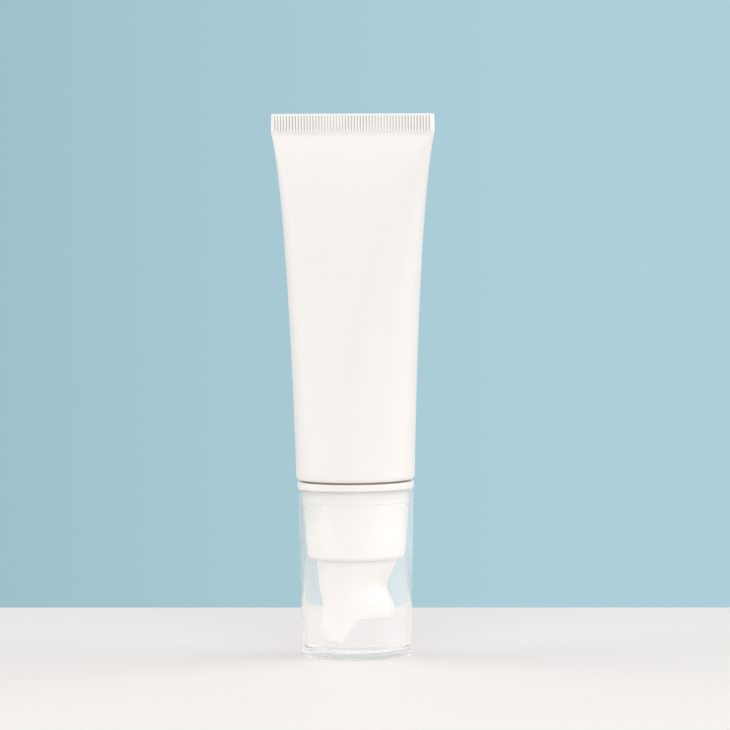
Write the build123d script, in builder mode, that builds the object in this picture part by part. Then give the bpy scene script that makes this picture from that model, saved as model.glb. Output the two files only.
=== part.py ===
from build123d import *

import os
from math import cos, pi, radians, sin, tan

os.makedirs("parts", exist_ok=True)

# An airless pump tube, standing upside down on its clear overcap. The origin is the centre of the
# overcap's flat end, +Z runs up to the crimped tail, and X runs along the crimped seal.
# Sizes are in millimetres.

# Squeeze sleeve
tube_diameter = 35.0
tube_length = 107.8
sleeve_wall = 0.5
curl_radius = 1.2
curl_width = 2.0
seal_height = 5.7
seal_band_height = 4.75
seal_top_margin = 0.3
seal_side_margin = 1.0
rib_pitch = 0.99
rib_width = 0.6
rib_depth = 0.2
film_hold = 0.06
film_rise = 0.40
film_round = 1.15
film_sections = 18
film_crowding = 1.8

# Overcap
cap_inset = 0.4
cap_wall = 1.2
cap_floor = 2.0
cap_draft = 1.0
cap_foot_radius = 1.0
cap_inner_radius = 1.8
cap_bore_depth = 4.6
cap_rim_chamfer = 0.2

# Collar that the overcap closes on
flange_gap = 0.5
flange_thickness = 2.0
flange_edge = 0.35
flange_overhang = 0.12
band_height = 4.0
band_clearance = 0.15
band_bead = 0.08
band_bead_height = 1.0
collar_step = 0.15
collar_reach = 20.8
collar_taper = 1.3
collar_corner = 1.8
collar_foot_flare = 0.5
collar_wall = 1.4
collar_skin = 1.15
collar_land = 0.45
collar_rib_count = 8
collar_rib_thickness = 1.0
rib_bite = 0.3

# Neck and snap fixture
fit = 0.1
neck_length = 8.8
neck_wall = 1.5
neck_bead = 0.5
neck_bead_height = 1.2
neck_bead_drop = 4.7
neck_clearance = 0.15
shoulder_thickness = 1.5
fixture_wall = 1.55
fixture_lip = 1.2
snap_height = 1.0
snap_depth = 0.25
snap_drop = 3.2
gasket_thickness = 0.8

# Pump
housing_flange = 1.2
plug_wall = 1.1
plug_depth = 8.5
chamber_diameter = 12.0
chamber_wall = 1.1
end_wall = 1.2
stroke = 4.5
lost_motion = 0.7
inlet_hole_radius = 0.9
inlet_hole_circle = 2.7
inlet_hole_count = 4
chamber_clearance = 2.5
valve_disc_radius = 4.2
valve_thickness = 0.5
valve_stalk_radius = 0.95
valve_bulb_radius = 1.6
piston_height = 3.6
piston_wall = 1.1
piston_lip = 0.85
piston_drop = 0.6
run_gap = 0.05
stem_diameter = 6.0
stem_bore = 3.6
stem_collar = 1.3
stem_collar_height = 1.2
stem_head = 1.4
port_radius = 0.6
port_drop = 0.95
guide_depth = 5.0
guide_thickness = 1.2
guide_bearing = 3.5
guide_wall = 1.05
guide_rim = 0.8
stop_height = 2.8
stop_wall = 1.2
spring_wire = 0.7
spring_length = 10.5
spring_turns = 6
spring_clearance = 0.65

# Actuator
head_turn = 28.0
root_clearance = 0.3
nose_clearance = 2.0
nose_length = 25.0
pad_drop = 18.1
head_edge = 1.8
pad_dish_margin = 0.2
pad_dish_depth = 0.7
step_slope = 56.0
step_offset = 0.6
step_radius = 1.6
throat_drop = 8.4
throat_depth = 2.85
waist_drop = 13.0
waist_depth = 1.55
lip_drop = 16.0
lip_depth = 0.5
head_wall = 1.3
socket_depth = 9.0
hub_rise = 1.5
hub_wall = 1.35
hub_rib_count = 6
hub_rib_thickness = 1.0
core_drop = 14.8
channel_radius = 1.6
channel_drop = 15.4
outlet_radius = 1.0
outlet_flare = 0.35
outlet_drop = 21.6
lift_gap = 0.5

# Radii worked inwards from the sleeve
tube_radius = tube_diameter / 2
cap_mouth = tube_radius - cap_inset
cap_foot = cap_mouth - cap_draft
cap_bore = cap_mouth - cap_wall
band_radius = cap_bore - band_clearance
skirt_radius = band_radius - collar_step
collar_bore = skirt_radius - collar_wall
fixture_radius = collar_bore - fit
foot_radius = skirt_radius - collar_taper
mouth_radius = foot_radius - collar_corner - collar_land
root_radius = mouth_radius - root_clearance
fixture_bore = fixture_radius - fixture_wall
neck_radius = fixture_bore - neck_clearance
neck_bore = neck_radius - neck_wall
plug_radius = neck_bore - fit
plug_bore = plug_radius - plug_wall
guide_radius = plug_bore - fit

# Radii worked outwards from the stem
stem_radius = stem_diameter / 2
socket_radius = stem_radius + run_gap
bearing_bore = stem_radius + fit
bearing_radius = bearing_bore + guide_wall
spring_radius = bearing_radius + spring_clearance + spring_wire / 2
hub_radius = socket_radius + hub_wall
seat_radius = spring_radius + spring_wire + fit
chamber_radius = chamber_diameter / 2
chamber_outer = chamber_radius + chamber_wall
stop_radius = chamber_radius - 2 * fit
piston_radius = chamber_radius - run_gap
piston_bore = stem_radius + fit

# Heights worked up from the overcap's flat end
nose_z = cap_floor + nose_clearance
mouth_z = nose_z + nose_length
rim_z = mouth_z + collar_reach
flange_z = rim_z + flange_thickness
tube_z = flange_z + flange_gap
seal_top_z = tube_z + tube_length
seal_z = seal_top_z - seal_height
round_z = tube_z + curl_radius
neck_end_z = tube_z - neck_length
housing_z = neck_end_z - gasket_thickness
pump_z = housing_z - housing_flange
fixture_z = pump_z - fixture_lip
spring_top_z = pump_z + guide_depth
guide_top_z = spring_top_z + guide_thickness
stop_z = guide_top_z + stop_height
web_z = pump_z + plug_depth
hub_z = spring_top_z - spring_length
piston_ring_z = stop_z + run_gap
piston_z = piston_ring_z - piston_drop
piston_top_z = piston_z + piston_height
stem_head_z = piston_top_z + run_gap
stem_top_z = stem_head_z + stem_head
chamber_top_z = stem_top_z + stroke + chamber_clearance
socket_z = hub_z + hub_rise - socket_depth
head_top_z = fixture_z - stroke - lift_gap
pad_z = mouth_z - pad_drop
core_z = mouth_z - core_drop
channel_z = mouth_z - channel_drop
outlet_z = mouth_z - outlet_drop


def head_level(z):
    """Horizontal plane at height z, with its x axis pointing away from the outlet."""
    turn = radians(head_turn)
    return Plane(origin=(0, 0, z), x_dir=(cos(turn), sin(turn), 0), z_dir=(0, 0, 1))


def upright(degrees):
    """Upright plane through the axis, with its x axis turned from +X and its y axis along +Z."""
    turn = radians(degrees)
    return Plane(origin=(0, 0, 0), x_dir=(cos(turn), sin(turn), 0), z_dir=(sin(turn), -cos(turn), 0))


def outlet_level():
    """Plane across the inner end of the slanting channel, facing out along it to the outlet."""
    inner = upright(head_turn).from_local_coords((0, channel_z + channel_radius, 0))
    outer = upright(head_turn).from_local_coords((-root_radius, outlet_z, 0))
    return Plane(origin=inner, z_dir=outer - inner)


def film_radius(share):
    """Half-depth of the sleeve, at a share of the way from the seal down to its round end."""
    start = film_hold**film_rise
    spread = ((share + film_hold) ** film_rise - start) / ((1 + film_hold) ** film_rise - start)
    return sleeve_wall + (tube_radius - sleeve_wall) * (1 - (1 - spread) ** film_round)


def film_section(radius, straight):
    """Outline of one level of the sleeve: two half circles joined by straights of the given half-length."""
    with BuildLine() as outline:
        Line((-straight, -radius), (straight, -radius))
        ThreePointArc((straight, -radius), (straight + radius, 0), (straight, radius))
        Line((straight, radius), (-straight, radius))
        ThreePointArc((-straight, radius), (-straight - radius, 0), (-straight, -radius))
    return outline.line


def round_section(radius, straight):
    """The same outline where the sleeve is round, so the straights have become short arcs."""
    rise = (radius**2 - straight**2) ** 0.5
    with BuildLine() as outline:
        ThreePointArc((-straight, -rise), (0, -radius), (straight, -rise))
        ThreePointArc((straight, -rise), (radius, 0), (straight, rise))
        ThreePointArc((straight, rise), (0, radius), (-straight, rise))
        ThreePointArc((-straight, rise), (-radius, 0), (-straight, -rise))
    return outline.line


def film_levels(shares, inset):
    """Levels of the flattening sleeve. Its outline keeps the tube's perimeter at every level."""
    hair = 0.05
    levels = []
    for share in shares:
        depth = film_radius(share)
        straight = pi / 2 * (tube_radius - depth)
        with BuildSketch(Plane.XY.offset(seal_z - share * (seal_z - round_z))) as level:
            if share < 1:
                add(film_section(depth - inset, straight))
            else:
                add(round_section(depth - inset, hair))
            make_face()
        levels.append(level.sketch)
    return levels


# Sleeve: thin soft plastic, curled in at the round end and pressed flat and ribbed at the tail.
sections_down = [(step / film_sections) ** film_crowding for step in range(film_sections + 1)]
seal_half_width = pi / 2 * (tube_radius - sleeve_wall)
rib_count = int(2 * (seal_half_width - seal_side_margin) / rib_pitch) // 2 * 2 + 1

with BuildPart() as tube_sleeve:
    loft(film_levels(sections_down, 0), ruled=True)
    with BuildSketch(Plane.XY.offset(seal_z)):
        add(film_section(sleeve_wall, seal_half_width))
        make_face()
    extrude(amount=seal_height - seal_band_height - seal_top_margin)
    with BuildSketch(Plane.XY.offset(seal_top_z - seal_top_margin - seal_band_height)):
        add(film_section(sleeve_wall, seal_half_width))
        make_face()
        with GridLocations(rib_pitch, 2 * sleeve_wall, rib_count, 2):
            half = rib_width / 2
            Polygon((-half, 0), (0, -rib_depth), (half, 0), (0, rib_depth), mode=Mode.SUBTRACT)
    extrude(amount=seal_band_height)
    with BuildSketch(Plane.XY.offset(seal_top_z - seal_top_margin)):
        add(film_section(sleeve_wall, seal_half_width))
        make_face()
    extrude(amount=seal_top_margin)
    with BuildSketch(Plane.XZ):
        with BuildLine():
            Line((0, tube_z), (tube_radius - curl_radius, tube_z))
            RadiusArc((tube_radius - curl_radius, tube_z), (tube_radius, round_z), -curl_radius)
            Line((tube_radius, round_z), (0, round_z))
            Line((0, round_z), (0, tube_z))
        make_face()
    revolve(axis=Axis.Z)
    first_inside = (0.5 / film_sections) ** film_crowding
    loft(film_levels([first_inside] + sections_down[1:], sleeve_wall), ruled=True, mode=Mode.SUBTRACT)
    with BuildSketch(Plane.XZ):
        with BuildLine():
            inner_radius = tube_radius - sleeve_wall
            inner_curl = curl_radius - sleeve_wall
            lip_radius = tube_radius - curl_width
            lip_z = tube_z + sleeve_wall
            Polyline((0, round_z), (0, tube_z), (lip_radius, tube_z), (lip_radius, lip_z))
            Line((lip_radius, lip_z), (inner_radius - inner_curl, lip_z))
            RadiusArc((inner_radius - inner_curl, lip_z), (inner_radius, round_z), -inner_curl)
            Line((inner_radius, round_z), (0, round_z))
        make_face()
    revolve(axis=Axis.Z, mode=Mode.SUBTRACT)
tube_sleeve.part.label = "tube_sleeve"
export_step(tube_sleeve.part, "parts/tube_sleeve.step")


# Shoulder: stiff disc welded into the sleeve's round end, with the neck that the pump plugs into.
neck_bead_z = tube_z - neck_bead_drop
bead_radius = neck_radius + neck_bead

with BuildPart() as tube_shoulder:
    with BuildSketch(Plane.XZ):
        with BuildLine():
            boss_radius = tube_radius - curl_width
            rim_radius = tube_radius - sleeve_wall
            shoulder_z = tube_z + sleeve_wall
            Polyline(
                (neck_bore, neck_end_z),
                (neck_radius, neck_end_z),
                (neck_radius, neck_bead_z - neck_bead_height),
                (bead_radius, neck_bead_z - neck_bead_height / 3),
                (bead_radius, neck_bead_z),
                (neck_radius, neck_bead_z),
                (neck_radius, tube_z),
                (boss_radius, tube_z),
                (boss_radius, shoulder_z),
                (rim_radius - curl_radius + sleeve_wall, shoulder_z),
            )
            rim_corner = curl_radius - sleeve_wall
            RadiusArc((rim_radius - rim_corner, shoulder_z), (rim_radius, round_z), -rim_corner)
            Polyline(
                (rim_radius, round_z),
                (rim_radius, round_z + shoulder_thickness / 2),
                (rim_radius - shoulder_thickness / 2, shoulder_z + shoulder_thickness),
                (neck_bore, shoulder_z + shoulder_thickness),
                (neck_bore, neck_end_z),
            )
        make_face()
    revolve(axis=Axis.Z)
tube_shoulder.part.label = "tube_shoulder"
export_step(tube_shoulder.part, "parts/tube_shoulder.step")


# Gasket: soft flat ring squeezed between the neck's end and the pump's flange.
with BuildPart() as neck_gasket:
    with BuildSketch(Plane.XY.offset(housing_z)):
        Circle(neck_radius)
        Circle(neck_bore, mode=Mode.SUBTRACT)
    extrude(amount=gasket_thickness)
neck_gasket.part.label = "neck_gasket"
export_step(neck_gasket.part, "parts/neck_gasket.step")


# Pump housing: flange and plug in the neck, with the pump chamber standing up into the tube.
with BuildPart() as pump_housing:
    with BuildSketch(Plane.XZ):
        with BuildLine():
            Polyline(
                (plug_bore, pump_z),
                (neck_radius - fit, pump_z),
                (neck_radius - fit, housing_z),
                (plug_radius, housing_z),
                (plug_radius, web_z + plug_wall),
                (chamber_outer, web_z + plug_wall),
                (chamber_outer, chamber_top_z + end_wall),
                (0, chamber_top_z + end_wall),
                (0, chamber_top_z),
                (chamber_radius, chamber_top_z),
                (chamber_radius, web_z),
                (plug_bore, web_z),
                close=True,
            )
        make_face()
    revolve(axis=Axis.Z)
    with BuildSketch(Plane.XY.offset(chamber_top_z)):
        Circle(valve_stalk_radius + run_gap)
        with PolarLocations(inlet_hole_circle, inlet_hole_count):
            Circle(inlet_hole_radius)
    extrude(amount=end_wall, mode=Mode.SUBTRACT)
pump_housing.part.label = "pump_housing"
export_step(pump_housing.part, "parts/pump_housing.step")


# Inlet valve: soft umbrella held by its bulb. Its disc closes the inlet holes from the chamber side.
with BuildPart() as inlet_valve:
    with BuildSketch(Plane.XZ):
        with BuildLine():
            bulb_z = chamber_top_z + end_wall
            Polyline(
                (0, chamber_top_z - valve_thickness - valve_stalk_radius / 2),
                (valve_stalk_radius, chamber_top_z - valve_thickness),
                (valve_disc_radius, chamber_top_z - valve_thickness / 2),
                (valve_disc_radius, chamber_top_z),
                (valve_stalk_radius, chamber_top_z),
                (valve_stalk_radius, bulb_z),
                (valve_bulb_radius, bulb_z),
                (valve_stalk_radius, bulb_z + valve_bulb_radius),
                (0, bulb_z + valve_bulb_radius),
                close=True,
            )
        make_face()
    revolve(axis=Axis.Z)
inlet_valve.part.label = "inlet_valve"
export_step(inlet_valve.part, "parts/inlet_valve.step")


# Stem guide: ring clamped in the plug. It bears on the stem, seats the spring and stops the piston.
with BuildPart() as stem_guide:
    with BuildSketch(Plane.XZ):
        with BuildLine():
            Polyline(
                (bearing_bore, spring_top_z - guide_bearing),
                (bearing_radius, spring_top_z - guide_bearing),
                (bearing_radius, spring_top_z),
                (guide_radius - guide_rim, spring_top_z),
                (guide_radius - guide_rim, pump_z),
                (guide_radius, pump_z),
                (guide_radius, web_z),
                (guide_radius - guide_rim, web_z),
                (guide_radius - guide_rim, guide_top_z),
                (stop_radius, guide_top_z),
                (stop_radius, stop_z),
                (stop_radius - stop_wall, stop_z),
                (stop_radius - stop_wall, guide_top_z),
                (bearing_bore, guide_top_z),
                close=True,
            )
        make_face()
    revolve(axis=Axis.Z)
stem_guide.part.label = "stem_guide"
export_step(stem_guide.part, "parts/stem_guide.step")


# Piston: soft sleeve that slides a little way on the stem, with a wiping lip at each end of its ring.
with BuildPart() as piston:
    with BuildSketch(Plane.XZ):
        with BuildLine():
            sleeve_radius = piston_bore + piston_wall
            ring_bore = piston_radius - piston_lip
            wipe = piston_lip / 2
            web_low_z = piston_z + piston_height / 2
            web_high_z = web_low_z + piston_wall
            Polyline(
                (piston_bore, piston_z),
                (sleeve_radius, piston_z),
                (sleeve_radius, web_low_z),
                (ring_bore, web_low_z),
                (ring_bore, piston_ring_z),
                (piston_radius, piston_ring_z),
                (piston_radius, piston_ring_z + wipe),
                (piston_radius - wipe, piston_ring_z + 2 * wipe),
                (piston_radius - wipe, piston_top_z - wipe),
                (piston_radius, piston_top_z),
                (piston_radius, piston_top_z + wipe),
                (ring_bore + wipe, piston_top_z + wipe),
                (ring_bore, web_high_z),
                (sleeve_radius, web_high_z),
                (sleeve_radius, piston_top_z),
                (piston_bore, piston_top_z),
                close=True,
            )
        make_face()
    revolve(axis=Axis.Z)
piston.part.label = "piston"
export_step(piston.part, "parts/piston.step")


# Stem: hollow rod. Its head shuts on the piston, and its collar pushes the piston along.
with BuildPart() as stem:
    with BuildSketch(Plane.XZ):
        with BuildLine():
            collar_top_z = piston_z - lost_motion - run_gap
            bore_radius = stem_bore / 2
            head_radius = piston_bore + piston_wall
            Polyline(
                (bore_radius, socket_z + run_gap),
                (stem_radius, socket_z + run_gap),
                (stem_radius, collar_top_z - stem_collar_height),
                (stem_radius + stem_collar, collar_top_z - stem_collar_height),
                (stem_radius + stem_collar, collar_top_z),
                (stem_radius, collar_top_z),
                (stem_radius, stem_head_z),
                (head_radius, stem_head_z),
                (head_radius, stem_head_z + stem_head / 3),
                (stem_radius, stem_top_z),
                (0, stem_top_z),
                (0, stem_head_z),
                (bore_radius, stem_head_z),
                close=True,
            )
        make_face()
    revolve(axis=Axis.Z)
    port_z = piston_top_z - port_drop
    for port_plane in (Plane.XZ, Plane.YZ):
        with BuildSketch(port_plane):
            with Locations((0, port_z)):
                Circle(port_radius)
        extrude(amount=stem_diameter, both=True, mode=Mode.SUBTRACT)
stem.part.label = "stem"
export_step(stem.part, "parts/stem.step")


# Return spring: steel wire coil between the guide and the actuator's ribs.
with BuildPart() as return_spring:
    coil_height = spring_length - spring_wire
    with BuildLine(Plane.XY.offset(hub_z + spring_wire / 2)) as coil:
        Helix(pitch=coil_height / spring_turns, height=coil_height, radius=spring_radius)
    with BuildSketch(Plane(origin=coil.line @ 0, z_dir=coil.line % 0)):
        Circle(spring_wire / 2)
    sweep(is_frenet=True)
    with BuildSketch(Plane.XY.offset(hub_z)):
        Circle(seat_radius + spring_wire)
    extrude(amount=spring_length, mode=Mode.INTERSECT)
return_spring.part.label = "return_spring"
export_step(return_spring.part, "parts/return_spring.step")


# Snap fixture: ring that clips over the neck's bead and clamps the pump's flange on the gasket.
with BuildPart() as snap_fixture:
    with BuildSketch(Plane.XZ):
        with BuildLine():
            groove_low_z = neck_bead_z - neck_bead_height - fit
            groove_high_z = neck_bead_z + fit
            snap_z = fixture_z + snap_drop
            lip_bore = guide_radius - guide_rim
            Polyline(
                (lip_bore, fixture_z),
                (fixture_radius, fixture_z),
                (fixture_radius, snap_z),
                (fixture_radius - snap_depth, snap_z),
                (fixture_radius - snap_depth, snap_z + snap_height),
                (fixture_radius, snap_z + snap_height),
                (fixture_radius, tube_z),
                (fixture_bore, tube_z),
                (fixture_bore, groove_high_z),
                (bead_radius + fit, groove_high_z),
                (bead_radius + fit, groove_low_z + neck_bead),
                (fixture_bore, groove_low_z),
                (fixture_bore, pump_z),
                (lip_bore, pump_z),
                close=True,
            )
        make_face()
    revolve(axis=Axis.Z)
snap_fixture.part.label = "snap_fixture"
export_step(snap_fixture.part, "parts/snap_fixture.step")


# Collar cover: tapered outer collar. Its flange sets the overcap and its band holds it.
inner_foot_z = mouth_z + collar_skin
flange_radius = cap_mouth + flange_overhang

with BuildPart() as collar_cover:
    with BuildSketch(Plane.XZ):
        with BuildLine():
            bead_z = rim_z - band_height / 2
            band_z = rim_z - band_height
            taper_z = mouth_z + collar_reach / 4
            land_radius = foot_radius - collar_corner
            Line((mouth_radius, mouth_z), (land_radius, mouth_z))
            RadiusArc((land_radius, mouth_z), (foot_radius, mouth_z + collar_corner), -collar_corner)
            Polyline(
                (foot_radius, mouth_z + collar_corner),
                (foot_radius + collar_foot_flare, taper_z),
                (skirt_radius, band_z),
                (band_radius, band_z + collar_step),
                (band_radius, bead_z - band_bead_height / 2),
                (band_radius + band_bead, bead_z),
                (band_radius, bead_z + band_bead_height / 2),
                (band_radius, rim_z),
                (flange_radius, rim_z),
                (flange_radius, flange_z),
                (collar_bore, flange_z),
                (collar_bore, fixture_z + snap_drop + snap_height - fit),
                (collar_bore - snap_depth, fixture_z + snap_drop + snap_height / 2),
                (collar_bore, fixture_z + snap_drop + fit),
                (collar_bore, fixture_z - collar_wall),
                (foot_radius - collar_wall, inner_foot_z),
                (mouth_radius, inner_foot_z),
                (mouth_radius, mouth_z),
            )
        make_face()
    revolve(axis=Axis.Z)
    flange_edges = collar_cover.edges().filter_by(GeomType.CIRCLE).group_by(SortBy.RADIUS)[-1]
    fillet(flange_edges, radius=flange_edge)
    for rib in range(collar_rib_count):
        with BuildSketch(upright(rib * 360 / collar_rib_count)):
            with BuildLine():
                Polyline(
                    (mouth_radius + root_clearance, inner_foot_z - rib_bite),
                    (foot_radius - collar_wall, inner_foot_z - rib_bite),
                    (foot_radius - collar_wall + rib_bite, inner_foot_z),
                    (collar_bore + rib_bite, fixture_z - collar_wall),
                    (collar_bore + rib_bite, fixture_z),
                    (mouth_radius + root_clearance, fixture_z),
                    close=True,
                )
            make_face()
        extrude(amount=collar_rib_thickness / 2, both=True)
collar_cover.part.label = "collar_cover"
export_step(collar_cover.part, "parts/collar_cover.step")


# Actuator: press-down head. Its outline runs from a round root through a throat and a waist to the
# nose and the finger pad, as a stack of ellipses. Each is (drop below the mouth, cut-in on the
# outlet side, cut-in on the pad side, cut-in across).
head_outline = [
    (mouth_z - head_top_z, 0, 0, 0),
    ((mouth_z - head_top_z) / 2, 0, 0, 0),
    (0, 0, 0, 0),
    (throat_drop / 4, 0.15, 0.4, 0.3),
    (throat_drop / 2, 0.35, 1.35, 0.9),
    (throat_drop, 0.8, throat_depth, 1.9),
    (waist_drop, waist_depth, 1.0, 1.9),
    (lip_drop, waist_depth - 0.05, lip_depth, 2.2),
    (outlet_drop, waist_depth - 0.85, 0.35, 2.8),
    (nose_length, waist_depth - 0.7, 0.6, 3.4),
]
# The same for the hollow behind it, which narrows all the way so that its core can be drawn out.
core_outline = [
    (mouth_z - head_top_z, head_wall, head_wall, head_wall),
    (0, head_wall, head_wall, head_wall),
    (throat_drop, head_wall + 0.9, head_wall + throat_depth, head_wall + 2.2),
    (core_drop, head_wall + 1.7, head_wall + throat_depth + 0.4, head_wall + 2.9),
]


def head_stack(outline):
    """Horizontal ellipses of a head outline, from its top level down."""
    stack = []
    for drop, outlet_side, pad_side, across in outline:
        half_length = root_radius - (outlet_side + pad_side) / 2
        with BuildSketch(head_level(mouth_z - drop)) as level:
            with Locations(((outlet_side - pad_side) / 2, 0)):
                Ellipse(half_length, min(root_radius - across, half_length))
        stack.append(level.sketch)
    return stack


throat_bore = root_radius - throat_depth - head_wall

with BuildPart() as actuator:
    loft(head_stack(head_outline))
    with BuildSketch(upright(head_turn)):
        with BuildLine():
            far = 2 * root_radius
            slope_foot = (step_offset - far / tan(radians(step_slope)), pad_z - far)
            Polyline((far, pad_z), (step_offset, pad_z), slope_foot, (far, pad_z - far), (far, pad_z))
        make_face()
    extrude(amount=far, both=True, mode=Mode.SUBTRACT)
    pad_face = actuator.faces().filter_by(Axis.Z).sort_by(Axis.Z)[1]
    fillet(pad_face.edges().filter_by(GeomType.LINE), radius=step_radius)
    low_edges = actuator.edges().filter_by_position(Axis.Z, nose_z, pad_z)
    fillet(low_edges.filter_by(GeomType.LINE, reverse=True), radius=head_edge)
    with BuildSketch(upright(head_turn)):
        with BuildLine():
            pad_centre = (step_offset + root_radius) / 2
            dish_rim = root_radius - head_edge - pad_dish_margin
            TangentArc((pad_centre, pad_z + pad_dish_depth), (dish_rim, pad_z), tangent=(1, 0))
            Polyline((dish_rim, pad_z), (pad_centre, pad_z), (pad_centre, pad_z + pad_dish_depth))
        make_face()
    dish_axis = Axis(upright(head_turn).from_local_coords((pad_centre, 0, 0)), (0, 0, 1))
    revolve(axis=dish_axis, mode=Mode.SUBTRACT)
    loft(head_stack(core_outline), mode=Mode.SUBTRACT)
    with BuildSketch(Plane.XY.offset(core_z - rib_bite)):
        Circle(hub_radius)
    extrude(amount=hub_z + hub_rise - core_z + rib_bite)
    for rib in range(hub_rib_count):
        with BuildSketch(upright(head_turn + rib * 360 / hub_rib_count)):
            with BuildLine():
                Polyline(
                    (stem_radius, core_z - rib_bite),
                    (throat_bore, core_z - rib_bite),
                    (throat_bore + rib_bite, mouth_z - throat_drop),
                    (root_radius - head_wall + rib_bite, mouth_z),
                    (root_radius - head_wall + rib_bite, head_top_z - lift_gap),
                    (seat_radius, hub_z),
                    (stem_radius, hub_z),
                    close=True,
                )
            make_face()
        extrude(amount=hub_rib_thickness / 2, both=True)
    with BuildSketch(Plane.XY.offset(hub_z + hub_rise)):
        Circle(socket_radius)
    extrude(amount=-socket_depth, mode=Mode.SUBTRACT)
    with BuildSketch(Plane.XY.offset(socket_z)):
        Circle(channel_radius)
    extrude(amount=channel_z - socket_z, mode=Mode.SUBTRACT)
    with BuildSketch(outlet_level()):
        Circle(outlet_radius)
    extrude(amount=2 * root_radius, mode=Mode.SUBTRACT)
    outlet_rim = actuator.edges(Select.LAST).sort_by(Axis((0, 0, 0), upright(head_turn).x_dir))[0]
    chamfer(outlet_rim, length=outlet_flare)
actuator.part.label = "actuator"
export_step(actuator.part, "parts/actuator.step")


# Overcap: clear tapered cup with a thick flat end. Its bore closes on the collar's band.
with BuildPart() as overcap:
    with BuildSketch(Plane.XZ):
        with BuildLine():
            bore_z = rim_z - cap_bore_depth
            inner_floor = cap_foot - cap_wall + cap_draft * cap_floor / rim_z
            Line((0, 0), (cap_foot - cap_foot_radius, 0))
            RadiusArc((cap_foot - cap_foot_radius, 0), (cap_foot, cap_foot_radius), -cap_foot_radius)
            Polyline(
                (cap_foot, cap_foot_radius),
                (cap_mouth, rim_z - cap_rim_chamfer),
                (cap_mouth - cap_rim_chamfer, rim_z),
                (cap_bore + cap_rim_chamfer, rim_z),
                (cap_bore, rim_z - cap_rim_chamfer),
                (cap_bore, bore_z),
                (cap_bore - band_clearance / 2, bore_z - 2 * cap_rim_chamfer),
                (inner_floor, cap_floor + cap_inner_radius),
            )
            flat_floor = inner_floor - cap_inner_radius
            RadiusArc((inner_floor, cap_floor + cap_inner_radius), (flat_floor, cap_floor), cap_inner_radius)
            Polyline((flat_floor, cap_floor), (0, cap_floor), (0, 0))
        make_face()
    revolve(axis=Axis.Z)
overcap.part.label = "overcap"
export_step(overcap.part, "parts/overcap.step")
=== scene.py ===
import bpy
import numpy as np
from mathutils import Matrix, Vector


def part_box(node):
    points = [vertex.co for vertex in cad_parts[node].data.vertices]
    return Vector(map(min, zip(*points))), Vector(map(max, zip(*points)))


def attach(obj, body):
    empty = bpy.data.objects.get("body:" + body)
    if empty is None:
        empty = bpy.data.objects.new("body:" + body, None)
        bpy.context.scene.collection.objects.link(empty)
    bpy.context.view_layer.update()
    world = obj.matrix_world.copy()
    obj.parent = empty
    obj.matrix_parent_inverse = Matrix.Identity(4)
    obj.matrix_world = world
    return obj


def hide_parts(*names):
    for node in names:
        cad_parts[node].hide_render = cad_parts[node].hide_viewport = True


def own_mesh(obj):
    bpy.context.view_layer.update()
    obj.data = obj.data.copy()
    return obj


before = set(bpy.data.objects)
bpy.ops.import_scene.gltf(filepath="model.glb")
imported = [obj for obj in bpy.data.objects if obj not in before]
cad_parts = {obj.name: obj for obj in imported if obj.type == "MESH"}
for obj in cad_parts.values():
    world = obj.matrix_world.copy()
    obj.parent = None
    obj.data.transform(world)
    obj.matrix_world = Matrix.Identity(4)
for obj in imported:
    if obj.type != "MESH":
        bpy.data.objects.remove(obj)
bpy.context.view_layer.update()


# Camera. A long lens a little above the tube's middle, turned to the side that shows the seal's
# right-hand corner nearer, and rolled a hair so that the tube leans as it does in the picture.
picture_width = 730
focal_pixels = 5500
view_turn = np.radians(28)
view_lift = np.radians(3.2)
view_roll = np.radians(-0.56)
view_distance = 1.622
aim_height = 0.086
aim_side = 0.0031


def toward(turn, lift):
    """Direction (sin a cos b, -cos a cos b, sin b) for a turn a round from the front and a lift b."""
    return np.array([np.sin(turn) * np.cos(lift), -np.cos(turn) * np.cos(lift), np.sin(lift)])


def level_right(turn):
    """Level direction (cos a, sin a, 0), which is to the right for whoever stands at the turn a."""
    return np.array([np.cos(turn), np.sin(turn), 0.0])


def placed_by(across, upward, back, place):
    """Matrix of an object whose X, Y and Z run along the three given directions from the place."""
    rows = np.stack([across, upward, back, place], axis=1)
    return Matrix(np.vstack([rows, [0, 0, 0, 1]]).tolist())


away = toward(view_turn, view_lift)
right = level_right(view_turn)
above = np.cross(away, right)
rolled_right = right * np.cos(view_roll) + above * np.sin(view_roll)
rolled_above = np.cross(away, rolled_right)
stand = np.array([0.0, 0.0, aim_height]) + right * aim_side + away * view_distance

lens = bpy.data.cameras.new("camera")
lens.lens = lens.sensor_width * focal_pixels / picture_width
lens.clip_start = 0.05
lens.clip_end = 20
camera = bpy.data.objects.new("camera", lens)
bpy.context.scene.collection.objects.link(camera)
camera.matrix_world = placed_by(rolled_right, rolled_above, away, stand)
bpy.context.scene.camera = camera
bpy.context.scene.view_settings.view_transform = "Standard"


# Floor and studio. A square-cut off-white table top with rounded edges, its back edge a few degrees
# off square to the view. The camera, reflections and clear plastic see a pale blue wall, and a white
# room lights all else. Soft lamps stand on both sides, in front and overhead.
table_back = 0.143
table_front = 0.24
table_side = 0.36
table_gap = 0.00004
table_edge = 0.0015
table_corner = 0.01
table_depth = 0.02
table_skew = np.radians(5.5)
table_turn = view_turn - table_skew
table_colour = (0.90, 0.86, 0.837, 1)
table_roughness = 0.5
table_gloss = 0.04
edge_steps = 7
corner_steps = 9
wall_left = (0.345, 0.535, 0.605, 1)
wall_right = (0.420, 0.630, 0.712, 1)
wall_left_end = -0.066
wall_right_end = 0.030
room_colour = (1.0, 0.99, 0.975, 1)
room_strength = 0.45
lost_after = 1.5
lost_strength = 0.72


def new_material(name):
    """New node material, with its shader and its output in place."""
    material = bpy.data.materials.new(name)
    material.use_nodes = True
    return material


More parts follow.
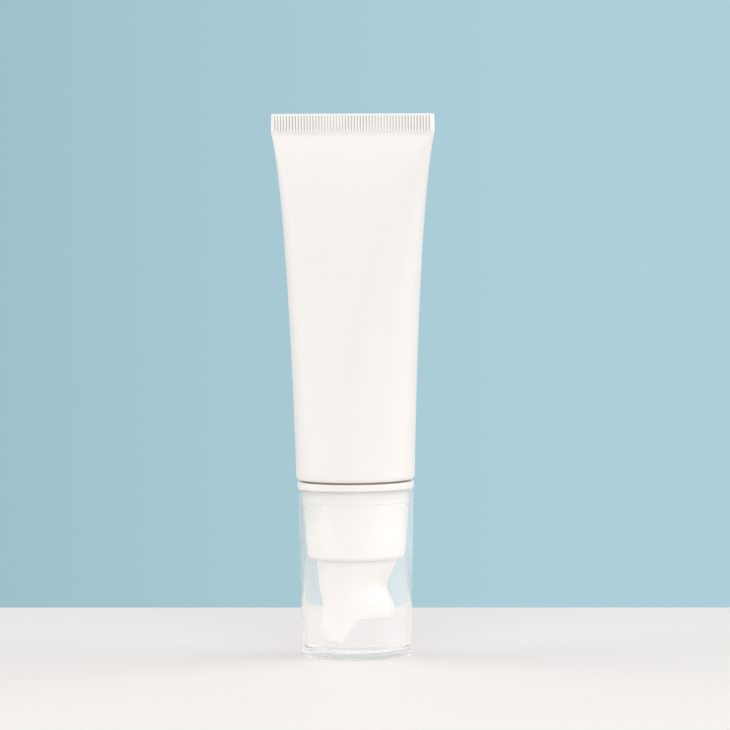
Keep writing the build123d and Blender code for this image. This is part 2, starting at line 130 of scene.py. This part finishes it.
def shader_of(material):
    """The material's main shader node."""
    return material.node_tree.nodes["Principled BSDF"]


def feed(tree, socket, source):
    """The socket is linked to another node's output, or set to a plain value."""
    if isinstance(source, bpy.types.NodeSocket):
        tree.links.new(source, socket)
    else:
        socket.default_value = source


def worked(tree, operation, *sources):
    """Output of a Math node on the given outputs and values."""
    node = tree.nodes.new("ShaderNodeMath")
    node.operation = operation
    for socket, source in zip(node.inputs, sources):
        feed(tree, socket, source)
    return node.outputs[0]


def ranged(tree, source, low, high, to_low=0.0, to_high=1.0):
    """Output of a Map Range node, which takes low to to_low and high to to_high and holds there."""
    node = tree.nodes.new("ShaderNodeMapRange")
    tree.links.new(source, node.inputs["Value"])
    node.inputs["From Min"].default_value = low
    node.inputs["From Max"].default_value = high
    node.inputs["To Min"].default_value = to_low
    node.inputs["To Max"].default_value = to_high
    return node.outputs["Result"]


def mixed(tree, share, first, second):
    """Output of a colour Mix node that goes from the first colour to the second."""
    node = tree.nodes.new("ShaderNodeMix")
    node.data_type = "RGBA"
    feed(tree, node.inputs["Factor"], share)
    feed(tree, node.inputs["A"], first)
    feed(tree, node.inputs["B"], second)
    return node.outputs["Result"]


def blended(tree, share, first, second):
    """Output of a Mix Shader node that goes from the first shader node to the second."""
    node = tree.nodes.new("ShaderNodeMixShader")
    tree.links.new(share, node.inputs["Fac"])
    tree.links.new(first.outputs[0], node.inputs[1])
    tree.links.new(second.outputs[0], node.inputs[2])
    return node.outputs[0]


def band_faces(first, second, fine, coarse):
    """Faces between a ring of fine points and a ring of coarse points, where fine is a whole multiple
    of coarse. Each face has one side of the coarse ring and the sides of the fine ring that face it."""
    share = fine // coarse
    step = np.arange(coarse)[:, None]
    near = first + (step * share + np.arange(share + 1)) % fine
    far = second + np.concatenate([(step + 1) % coarse, step], axis=1)
    return np.concatenate([near, far], axis=1).tolist()


def piece_from(name, points, faces, smooth_angle=40):
    """Object with the given points and faces, smooth but for edges sharper than the angle."""
    mesh = bpy.data.meshes.new(name)
    mesh.from_pydata(np.asarray(points, float), [], faces)
    mesh.validate()
    mesh.shade_smooth()
    mesh.set_sharp_from_angle(angle=np.radians(smooth_angle))
    made = bpy.data.objects.new(name, mesh)
    bpy.context.scene.collection.objects.link(made)
    return made


def skin(name, rings):
    """Closed surface through a stack of rings with as many points each. A ring runs anticlockwise as
    seen from the stack's last end. Bands of faces join the rings, and one face closes each end."""
    count = rings.shape[1]
    last = (len(rings) - 1) * count
    faces = [list(range(count))[::-1]]
    for start in range(0, last, count):
        faces += band_faces(start, start + count, count, count)
    faces.append(list(range(last, last + count)))
    return piece_from(name, rings.reshape(-1, 3), faces)


def slab(name, width, front, back, thickness, edge, corner):
    """Table top. Each level is a rectangle with round corners: the corner's centre plus (r cos a,
    r sin a). Up the top edge the level is drawn in by edge (1 - sin t) and lowered by edge
    (1 - cos t), for t from a right angle to 0. All of it is turned by the table's turn."""
    turn = np.linspace(np.pi / 2, 0, edge_steps)
    inward = np.concatenate([[edge, 0], edge * (1 - np.sin(turn))])[:, None]
    height = np.concatenate([[-thickness, edge - thickness], edge * (np.cos(turn) - 1)])[:, None]
    around = np.linspace(0, np.pi / 2, corner_steps)
    angle = np.concatenate([around + quarter * np.pi / 2 for quarter in range(4)])
    side = width / 2 - corner
    centre_x = np.repeat([side, -side, -side, side], corner_steps)
    centre_y = np.repeat([back - corner, back - corner, corner - front, corner - front], corner_steps)
    x = centre_x + (corner - inward) * np.cos(angle)
    y = centre_y + (corner - inward) * np.sin(angle)
    spun_x = x * np.cos(table_turn) - y * np.sin(table_turn)
    spun_y = x * np.sin(table_turn) + y * np.cos(table_turn)
    return skin(name, np.stack([spun_x, spun_y, np.broadcast_to(height - table_gap, x.shape)], axis=-1))


table = slab("floor", 2 * table_side, table_front, table_back, table_depth, table_edge, table_corner)
table_material = new_material("table_top")
shader = shader_of(table_material)
shader.inputs["Base Color"].default_value = table_colour
shader.inputs["Roughness"].default_value = table_roughness
shader.inputs["Specular IOR Level"].default_value = table_gloss
table.data.materials.append(table_material)

world = bpy.data.worlds.new("studio")
bpy.context.scene.world = world
world.use_nodes = True
tree = world.node_tree
tree.nodes.clear()
ray = tree.nodes.new("ShaderNodeLightPath").outputs
# A ray sees the wall if no rough surface has scattered it and it isn't lost in the clear plastic.
mirrored = worked(tree, "MAXIMUM", ray["Is Transmission Ray"], ray["Is Glossy Ray"])
direct = worked(tree, "MAXIMUM", ray["Is Camera Ray"], mirrored)
lost = worked(tree, "GREATER_THAN", ray["Glossy Depth"], lost_after)
scattered = worked(tree, "ADD", ray["Diffuse Depth"], lost)
unscattered = worked(tree, "LESS_THAN", scattered, 0.5)
sees_wall = worked(tree, "MULTIPLY", direct, unscattered)
room = tree.nodes.new("ShaderNodeBackground")
room.inputs["Color"].default_value = room_colour
strength = worked(tree, "MULTIPLY_ADD", lost, lost_strength - room_strength, room_strength)
tree.links.new(strength, room.inputs["Strength"])
direction = tree.nodes.new("ShaderNodeTexCoord")
sideways = tree.nodes.new("ShaderNodeVectorMath")
sideways.operation = "DOT_PRODUCT"
sideways.inputs[1].default_value = right
tree.links.new(direction.outputs["Generated"], sideways.inputs[0])
along_wall = ranged(tree, sideways.outputs["Value"], wall_left_end, wall_right_end)
wall = tree.nodes.new("ShaderNodeBackground")
tree.links.new(mixed(tree, along_wall, wall_left, wall_right), wall.inputs["Color"])
output = tree.nodes.new("ShaderNodeOutputWorld")
tree.links.new(blended(tree, sees_wall, room, wall), output.inputs["Surface"])


def soft_lamp(name, turn, lift, distance, size, power):
    """Square lamp that faces the tube's middle. Its turn is measured round from the camera, in degrees."""
    light = bpy.data.lights.new(name, "AREA")
    light.size = size
    light.energy = power
    lamp = bpy.data.objects.new(name, light)
    bpy.context.scene.collection.objects.link(lamp)
    angle = view_turn + np.radians(turn)
    facing = toward(angle, np.radians(lift))
    across = level_right(angle)
    place = np.array([0, 0, aim_height]) + facing * distance
    lamp.matrix_world = placed_by(across, np.cross(facing, across), facing, place)


soft_lamp("right_lamp", turn=94, lift=26, distance=2.0, size=2.1, power=19.6)
soft_lamp("left_lamp", turn=-98, lift=26, distance=2.0, size=2.1, power=16.6)
soft_lamp("front_lamp", turn=2, lift=22, distance=1.6, size=1.4, power=10.9)
soft_lamp("top_lamp", turn=10, lift=82, distance=1.2, size=0.8, power=2.5)


# Sleeve. Soft white plastic tube, round where it is welded to the shoulder and pressed flat at the
# tail, where hot ribbed jaws seal it. Its end is curled in round the shoulder's rim.
tube_radius = 0.0175
sleeve_wall = 0.0005
curl_radius = 0.0012
curl_width = 0.0020
curl_steps = 10
lip_steps = 4
seal_height = 0.0057
seal_edge = 0.00006
seal_edge_share = 0.82
corner_draw = 0.00025
corner_height = 0.0025
corner_width = 0.002
rib_band = 0.00475
rib_top_margin = 0.0003
rib_side_margin = 0.0004
rib_end_fade = 0.0003
rib_side_fade = 0.0004
rib_pitch = 0.00099
rib_depth = 0.00013
rib_narrowing = 1.4
crimp_gap = 0.0002
crease_drop = 0.0002
# Painted shade along the crease under the seal: how dark it is and how far it reaches.
crease_painted_shade = 0.12
crease_reach = 0.0011
film_hold = 0.06
film_rise = 0.40
film_round = 1.15
row_crowding = 1.9
film_columns = 448
film_rows = 120
crimp_columns = 896
crimp_rows = 16
inner_columns = 112
inner_rows = 30
inner_curl_steps = 5
inner_closed_at = 0.07
film_colour = (0.925, 0.89, 0.866)
film_shade = (0.91, 0.875, 0.851)
# Painted shade for the crimp's grooves, and a painted highlight for its ridges.
groove_painted_shade = (0.235, 0.195, 0.175, 1)
ridge_painted_highlight = (1.0, 0.99, 0.975, 1)
cloud_detail = 2
grain_detail = 4
grain_strength = 0.3
# Patches in which the grooves' painted shade is stronger or weaker.
groove_shade_patches = 75
groove_shade_detail = 1
groove_shade_patch_low = 0.3
groove_shade_patch_high = 0.7
groove_shade_least = 0.4

sleeve_low, sleeve_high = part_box("tube_sleeve")
tube_end = sleeve_low.z
round_start = tube_end + curl_radius
seal_start = sleeve_high.z - seal_height
band_high = sleeve_high.z - rib_top_margin
band_low = band_high - rib_band


def sleeve_ring(columns, radius, height):
    """Rings of the sleeve. Along a ring the film's length l runs from 0 at the middle of the front,
    and every ring is 2 pi R long. The front is straight as far as l = pi/2 (R - r), then comes a half
    circle of radius r, then the straight back, so each ring is a flattened circle."""
    radius = np.asarray(radius, float)[:, None]
    height = np.asarray(height, float)[:, None]
    run = np.linspace(0, 2 * np.pi * tube_radius, columns, endpoint=False)
    run = np.where(run > np.pi * tube_radius, run - 2 * np.pi * tube_radius, run)[None, :]
    side = np.where(run < 0, -1.0, 1.0)
    length = np.abs(run)
    straight = np.pi / 2 * (tube_radius - radius)
    turn = np.clip((length - straight) / np.maximum(radius, 1e-9), 0, np.pi)
    back = np.clip(length - straight - np.pi * radius, 0, None)
    x = side * (np.minimum(length, straight) + radius * np.sin(turn) - back)
    y = -radius * np.cos(turn)
    return np.stack([x, y, np.broadcast_to(height, x.shape)], axis=-1)


def film_depth(share):
    """Half the sleeve's depth at a share u of the way from seal to round end. The spread s is
    (u + hold) ** rise, scaled to run from 0 to 1. The depth is half the seal's thickness, plus the
    rest times 1 - (1 - s) ** round."""
    start = film_hold**film_rise
    spread = ((share + film_hold) ** film_rise - start) / ((1 + film_hold) ** film_rise - start)
    return sleeve_wall + (tube_radius - sleeve_wall) * (1 - np.clip(1 - spread, 0, 1) ** film_round)


def film_height(share):
    """Height at a share of the way from the seal down to the round end."""
    return seal_start - share * (seal_start - round_start)


def rib_height(run, height):
    """Inward press of the crimp's grooves: a raised cosine to a power across each rib's pitch, faded
    out over the band's upper and lower ends and at the seal's sides."""
    wave = (0.5 + 0.5 * np.cos(2 * np.pi * run / rib_pitch)) ** rib_narrowing
    above_end = np.clip((height - band_low) / rib_end_fade, 0, 1)
    below_end = np.clip((band_high - height) / rib_end_fade, 0, 1)
    half_width = np.pi / 2 * (tube_radius - sleeve_wall)
    sides = np.clip((half_width - rib_side_margin - np.abs(run)) / rib_side_fade, 0, 1)
    return rib_depth * wave * above_end * below_end * sides


def round_rings(columns, radii, heights):
    """Rings of the round end: plain circles, started at the middle of the front like the others."""
    angle = np.linspace(0, 2 * np.pi, columns, endpoint=False)
    radii = np.asarray(radii, float)[:, None]
    x = radii * np.sin(angle)
    y = -radii * np.cos(angle)
    return np.stack([x, y, np.broadcast_to(np.asarray(heights, float)[:, None], x.shape)], axis=-1)


def flat_cap(first, columns):
    """Faces that close a flattened ring: each joins a side of its front to the side facing it at the
    back. The two at the ring's narrow ends are triangles."""
    quarter = columns // 4
    front = np.arange(-quarter + 1, quarter - 1)
    quads = np.stack([front, front + 1, columns // 2 - front - 1, columns // 2 - front], axis=1) % columns
    ends = [[quarter - 1, quarter, quarter + 1], [-quarter, 1 - quarter, -quarter - 1]]
    return (first + quads).tolist() + (first + np.array(ends) % columns).tolist()


share = np.linspace(0, 1, film_rows) ** row_crowding
film_rings = sleeve_ring(film_columns, film_depth(share), film_height(share))

crimp_height = np.linspace(sleeve_high.z, seal_start + crimp_gap, crimp_rows)[1:]
crimp_height = np.concatenate([[sleeve_high.z, sleeve_high.z - seal_edge], crimp_height])
crimp_radius = np.full(len(crimp_height), sleeve_wall)
crimp_radius[0] = sleeve_wall * seal_edge_share
crimp_rings = sleeve_ring(crimp_columns, crimp_radius, crimp_height)
press = rib_height(crimp_rings[..., 0], crimp_rings[..., 2])
crimp_rings[..., 1] -= np.sign(crimp_rings[..., 1]) * press

# The seal's upper corners are drawn in, which rounds them.
near_top = np.clip(1 - (sleeve_high.z - crimp_height) / corner_height, 0, 1)[:, None] ** 2
from_side = sleeve_high.x - np.abs(crimp_rings[..., 0])
near_side = np.clip(1 - from_side / corner_width, 0, 1) ** 2
crimp_rings[..., 0] -= np.sign(crimp_rings[..., 0]) * corner_draw * near_top * near_side

turn = np.linspace(0, np.pi / 2, curl_steps)[1:]
end_radii = tube_radius - curl_radius + curl_radius * np.cos(turn)
end_heights = round_start - curl_radius * np.sin(turn)
lip_radii = np.linspace(tube_radius - curl_radius, tube_radius - curl_width, lip_steps)[1:]
lip_heights = np.full(len(lip_radii), tube_end)
end_radii = np.concatenate([end_radii, lip_radii, lip_radii[-1:]])
end_heights = np.concatenate([end_heights, lip_heights, [tube_end + sleeve_wall]])
end_rings = round_rings(film_columns, end_radii, end_heights)

turn = np.linspace(np.pi / 2, 0, inner_curl_steps)
inner_curl = curl_radius - sleeve_wall
inner_radii = tube_radius - curl_radius + inner_curl * np.cos(turn)
inner_end_rings = round_rings(inner_columns, inner_radii, round_start - inner_curl * np.sin(turn))
share = (np.linspace(1, inner_closed_at, inner_rows) ** row_crowding)[1:]
inner_rings = sleeve_ring(inner_columns, film_depth(share), film_height(share))
inner_depth = film_depth(share)[:, None]
inner_rings[..., 1] *= (inner_depth - sleeve_wall) / inner_depth
outer_half = np.abs(inner_rings[..., 0]).max(axis=1)[:, None]
inner_rings[..., 0] *= (outer_half - sleeve_wall) / outer_half

stacks = [crimp_rings, film_rings, end_rings, inner_end_rings, inner_rings]
points = np.concatenate([stack.reshape(-1, 3) for stack in stacks])
ring_sizes = np.concatenate([[stack.shape[1]] * stack.shape[0] for stack in stacks])
ring_starts = np.concatenate([[0], np.cumsum(ring_sizes)])
faces = flat_cap(0, crimp_columns)
# The stack starts downwards, so its bands are turned over to face outwards.
for ring in range(len(ring_sizes) - 1):
    band = band_faces(ring_starts[ring], ring_starts[ring + 1], ring_sizes[ring], ring_sizes[ring + 1])
    faces += [face[:1] + face[:0:-1] for face in band]
faces += [face[::-1] for face in flat_cap(ring_starts[-2], inner_columns)]
sleeve = piece_from("sleeve", points, faces)

# The attribute is painted shade above 0, in the grooves and the crease, and a painted highlight below 0, on
# the ridges.
from_crease = np.abs(points[:, 2] - seal_start + crease_drop)
painted_shade_highlight = crease_painted_shade * np.clip(1 - from_crease / crease_reach, 0, 1)
groove_share = press.reshape(-1) / rib_depth
in_band = np.clip((points[: press.size, 2] - band_low) / rib_end_fade, 0, 1)
painted_shade_highlight[: press.size] += groove_share**3 - in_band * (1 - groove_share) ** 2
groove = sleeve.data.attributes.new("painted_shade_highlight", "FLOAT", "POINT")
groove.data.foreach_set("value", painted_shade_highlight)
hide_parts("tube_sleeve")
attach(sleeve, "tube")


def noise(tree, place, scale, detail):
    """Output of a Noise Texture node at the given place, scale and detail."""
    node = tree.nodes.new("ShaderNodeTexNoise")
    tree.links.new(place, node.inputs["Vector"])
    feed(tree, node.inputs["Scale"], scale)
    node.inputs["Detail"].default_value = detail
    return node.outputs["Fac"]


def tone_group():
    """Shader group for a moulded or drawn piece: a colour that clouds slowly, and a fine height."""
    group = bpy.data.node_groups.new("plastic_tone", "ShaderNodeTree")
    for name, kind in (("Colour", "Color"), ("Shade", "Color"), ("Clouds", "Float"), ("Grain", "Float")):
        group.interface.new_socket(name, in_out="INPUT", socket_type="NodeSocket" + kind)
    for name, kind in (("Colour", "Color"), ("Height", "Float")):
        group.interface.new_socket(name, in_out="OUTPUT", socket_type="NodeSocket" + kind)
    given = group.nodes.new("NodeGroupInput").outputs
    place = group.nodes.new("ShaderNodeTexCoord").outputs["Object"]
    cloud = noise(group, place, given["Clouds"], cloud_detail)
    grain = noise(group, place, given["Grain"], grain_detail)
    result = group.nodes.new("NodeGroupOutput").inputs
    group.links.new(mixed(group, cloud, given["Colour"], given["Shade"]), result["Colour"])
    group.links.new(grain, result["Height"])
    return group


plastic_tone = tone_group()


def finish(name, colour, shade, roughness, clouds, grain, relief):
    """Material whose colour and fine height come from the tone group. Clouds and grain say how many
    waves of each fit in a metre, and relief is the grain's height in metres."""
    material = new_material(name)
    tree = material.node_tree
    shader = shader_of(material)
    tone = tree.nodes.new("ShaderNodeGroup")
    tone.node_tree = plastic_tone
    tone.inputs["Colour"].default_value = (*colour, 1)
    tone.inputs["Shade"].default_value = (*shade, 1)
    tone.inputs["Clouds"].default_value = clouds
    tone.inputs["Grain"].default_value = grain
    tree.links.new(tone.outputs["Colour"], shader.inputs["Base Color"])
    bump = tree.nodes.new("ShaderNodeBump")
    bump.inputs["Strength"].default_value = grain_strength
    bump.inputs["Distance"].default_value = relief
    tree.links.new(tone.outputs["Height"], bump.inputs["Height"])
    tree.links.new(bump.outputs["Normal"], shader.inputs["Normal"])
    shader.inputs["Roughness"].default_value = roughness
    return material


film = finish("sleeve_film", film_colour, film_shade, roughness=0.42, clouds=40, grain=900, relief=0.00002)
tree = film.node_tree
base_colour = shader_of(film).inputs["Base Color"]
# The attribute paints shade into the grooves and the crease, and a highlight onto the ridges.
painted_light_attribute = tree.nodes.new("ShaderNodeAttribute")
painted_light_attribute.attribute_name = "painted_shade_highlight"
place = tree.nodes.new("ShaderNodeTexCoord").outputs["Object"]
# The painted shade in the grooves is weaker in some patches than in others.
patches = noise(tree, place, groove_shade_patches, groove_shade_detail)
groove_shade_strength = ranged(tree, patches, groove_shade_patch_low, groove_shade_patch_high, groove_shade_least)
depth = worked(tree, "MULTIPLY", painted_light_attribute.outputs["Fac"], groove_shade_strength)
groove_shaded_colour = mixed(tree, depth, base_colour.links[0].from_socket, groove_painted_shade)
# Below 0 the attribute paints a highlight onto the ridges.
ridge_highlight_share = worked(tree, "MULTIPLY", painted_light_attribute.outputs["Fac"], -1)
tree.links.new(mixed(tree, ridge_highlight_share, groove_shaded_colour, ridge_painted_highlight), base_colour)
sleeve.data.materials.append(film)


# Shoulder and pump. Stiff natural white mouldings inside the sleeve: the shoulder with its neck, the
# pump's housing, its guide and its stem, and the ring that snaps them to the neck.
moulding_colour = (0.86, 0.86, 0.84)
moulding_shade = (0.84, 0.84, 0.82)


def dress(node, material):
    """The CAD node shows the material."""
    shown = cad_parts[node].data.materials
    shown.clear()
    shown.append(material)


moulding = finish(
    "white_moulding", moulding_colour, moulding_shade, roughness=0.45, clouds=60, grain=1500, relief=0.00001
)
for node in ("tube_shoulder", "pump_housing", "stem_guide", "stem", "snap_fixture"):
    dress(node, moulding)


# Seals. Soft grey-white rings and lips, squeezed or sprung into place: the neck's gasket, the piston
# and the umbrella valve.
seal_colour = (0.72, 0.73, 0.72)
seal_shade = (0.69, 0.70, 0.69)

soft_seal = finish(
    "soft_seal", seal_colour, seal_shade, roughness=0.6, clouds=80, grain=2500, relief=0.00001
)
for node in ("neck_gasket", "piston", "inlet_valve"):
    dress(node, soft_seal)


# Return spring. Drawn stainless wire wound into a coil, seated on the guide and pushing the
# actuator out. It shortens as the actuator goes in, but is built here at one length.
wire_radius = 0.00035
wire_columns = 16
wire_rings = 600
wire_colour = (0.62, 0.62, 0.63)
wire_shade = (0.55, 0.55, 0.56)
coil_radius = 0.00515
coil_turns = 6

coil_low, coil_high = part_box("return_spring")
coil_length = coil_high.z - coil_low.z


def coil(name, turns, around, along):
    """Wire along a helix. Its middle line is (R cos a, R sin a, z0 + a p / 2 pi), and each ring of the
    wire lies in the plane across that line, spanned by the outward direction and its cross product
    with the line's direction."""
    angle = np.linspace(0, 2 * np.pi * turns, along)
    rise = (coil_length - 2 * wire_radius) / (2 * np.pi * turns)
    level = np.zeros(along)
    outward = np.stack([np.cos(angle), np.sin(angle), level], axis=-1)
    middle = coil_radius * outward
    middle[:, 2] = coil_low.z + wire_radius + rise * angle
    onward = np.stack([-coil_radius * np.sin(angle), coil_radius * np.cos(angle), level + rise], axis=-1)
    onward /= np.linalg.norm(onward, axis=1)[:, None]
    across = np.cross(onward, outward)
    turn = np.linspace(0, 2 * np.pi, around, endpoint=False)[None, :, None]
    offset = outward[:, None] * np.cos(turn) + across[:, None] * np.sin(turn)
    return skin(name, middle[:, None] + wire_radius * offset)


spring = coil("spring_wire", coil_turns, wire_columns, wire_rings)
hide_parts("return_spring")
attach(spring, "tube")
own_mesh(spring)
wire = finish(
    "spring_wire", wire_colour, wire_shade, roughness=0.28, clouds=400, grain=3000, relief=0.000005
)
shader_of(wire).inputs["Metallic"].default_value = 1
spring.data.materials.append(wire)


# Collar cover. Moulded white collar, pushed over the snap fixture, with the flange that the overcap
# closes against.
collar_colour = (0.935, 0.90, 0.872)
collar_shade = (0.925, 0.89, 0.862)

collar_white = finish(
    "collar_white", collar_colour, collar_shade, roughness=0.35, clouds=50, grain=1200, relief=0.00001
)
dress("collar_cover", collar_white)


# Actuator. Moulded white press-down head with its nose, outlet and dished finger pad, pushed onto the
# stem.
# The actuator's white is set a little darker than the collar's: painted shade against the extra light that
# reaches it from the table and the cup's walls.
actuator_colour = (0.90, 0.863, 0.838)
actuator_shade = (0.89, 0.853, 0.828)

actuator_white = finish(
    "actuator_white", actuator_colour, actuator_shade, roughness=0.35, clouds=50, grain=1200, relief=0.00001
)
dress("actuator", actuator_white)


# Overcap. Clear moulded cup with a thick flat end, which the tube stands on, and the small mark of
# its gate in the middle. Its bore closes on the collar's band, and its foot is scuffed from standing.
cap_mouth = 0.0171
cap_foot = 0.0161
cap_bore = 0.0159
cap_rim = 0.0498
cap_floor = 0.0020
cap_foot_radius = 0.0010
cap_foot_steps = 17
cap_inner_radius = 0.0018
cap_inner_foot = 0.01494
cap_inner_steps = 25
cap_bore_height = 0.0046
cap_bore_step = 0.000075
cap_rim_edge = 0.0002
cap_support = 0.00006
cap_columns = 384
gate_radius = 0.0013
gate_depth = 0.00015
gate_middle_share = 0.5
gate_flat_share = 0.85
clear_colour = (1.0, 1.0, 1.0)
clear_shade = (0.99, 0.99, 0.99)
clear_roughness = 0.04
clear_bending = 1.49
clear_share = 0.87
light_kept = 0.945
scuff_roughness = 0.6
scuff_full = 0.0003
scuff_gone = 0.0014
scratches = 900
scratch_detail = 3
scratch_full = 0.5


def arc(centre, radius, start, end, count):
    """Points (centre + radius (cos a, sin a)) for angles a from start to end, in degrees."""
    angle = np.radians(np.linspace(start, end, count))
    return np.stack([centre[0] + radius * np.cos(angle), centre[1] + radius * np.sin(angle)], axis=1)


def supported(outline, reach):
    """The outline with two more points in every run longer than four reaches: its start plus reach
    and its end less reach along the run, so that smoothing keeps to the corners."""
    start = outline[:-1]
    run = outline[1:] - start
    length = np.linalg.norm(run, axis=1)[:, None]
    inset = run / length * reach
    points = np.stack([start, start + inset, start + run - inset], axis=1)
    kept = np.concatenate([np.ones_like(length), length > 4 * reach, length > 4 * reach], axis=1) > 0
    return np.concatenate([points[kept], outline[-1:]])


def turned(name, outline, columns):
    """Solid of revolution. A point (r, z) of the outline goes to (r cos a, r sin a, z) for every angle
    a. The outline runs from near the axis below to near the axis above, and both ends are closed."""
    angle = np.linspace(0, 2 * np.pi, columns, endpoint=False)
    x = outline[:, :1] * np.cos(angle)
    y = outline[:, :1] * np.sin(angle)
    return skin(name, np.stack([x, y, np.broadcast_to(outline[:, 1:], x.shape)], axis=-1))


gate_middle = gate_radius * gate_middle_share
gate_flat = gate_radius * gate_flat_share
bore_end = cap_rim - cap_bore_height
inner_centre = (cap_inner_foot - cap_inner_radius, cap_floor + cap_inner_radius)
cap_outline = np.concatenate(
    [
        [[gate_middle, gate_depth], [gate_flat, gate_depth], [gate_radius, 0]],
        arc((cap_foot - cap_foot_radius, cap_foot_radius), cap_foot_radius, -90, 0, cap_foot_steps),
        [[cap_mouth, cap_rim - cap_rim_edge], [cap_mouth - cap_rim_edge, cap_rim]],
        [[cap_bore + cap_rim_edge, cap_rim], [cap_bore, cap_rim - cap_rim_edge]],
        [[cap_bore, bore_end], [cap_bore - cap_bore_step, bore_end - 2 * cap_rim_edge]],
        arc(inner_centre, cap_inner_radius, 0, -90, cap_inner_steps),
        [[gate_radius, cap_floor]],
    ]
)
overcap = turned("clear_cup", supported(cap_outline, cap_support), cap_columns)
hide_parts("overcap")
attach(overcap, "cap")

clear = finish(
    "clear_plastic", clear_colour, clear_shade, clear_roughness, clouds=30, grain=300, relief=0.000002
)
tree = clear.node_tree
shader = shader_of(clear)
shader.inputs["IOR"].default_value = clear_bending
# The share that isn't clear is milky, and veils what is inside the cup.
shader.inputs["Transmission Weight"].default_value = clear_share
# The foot is scuffed in scratches, which fade out above the table.
place = tree.nodes.new("ShaderNodeTexCoord").outputs["Object"]
height = tree.nodes.new("ShaderNodeSeparateXYZ")
tree.links.new(place, height.inputs["Vector"])
near_foot = ranged(tree, height.outputs["Z"], scuff_full, scuff_gone, 1, 0)
scuffed = worked(tree, "MULTIPLY", near_foot, noise(tree, place, scratches, scratch_detail))
rough = ranged(tree, scuffed, 0, scratch_full, clear_roughness, scuff_roughness)
tree.links.new(rough, shader.inputs["Roughness"])
# Lamps light what is inside the cup, and rays that are lost in its foot go straight on.
ray = tree.nodes.new("ShaderNodeLightPath").outputs
lost = worked(tree, "GREATER_THAN", ray["Glossy Depth"], lost_after)
straight_on = worked(tree, "MAXIMUM", ray["Is Shadow Ray"], lost)
let_through = tree.nodes.new("ShaderNodeBsdfTransparent")
let_through.inputs["Color"].default_value = (light_kept, light_kept, light_kept, 1)
surface = tree.nodes["Material Output"].inputs["Surface"]
tree.links.new(blended(tree, straight_on, shader, let_through), surface)
overcap.data.materials.append(clear)
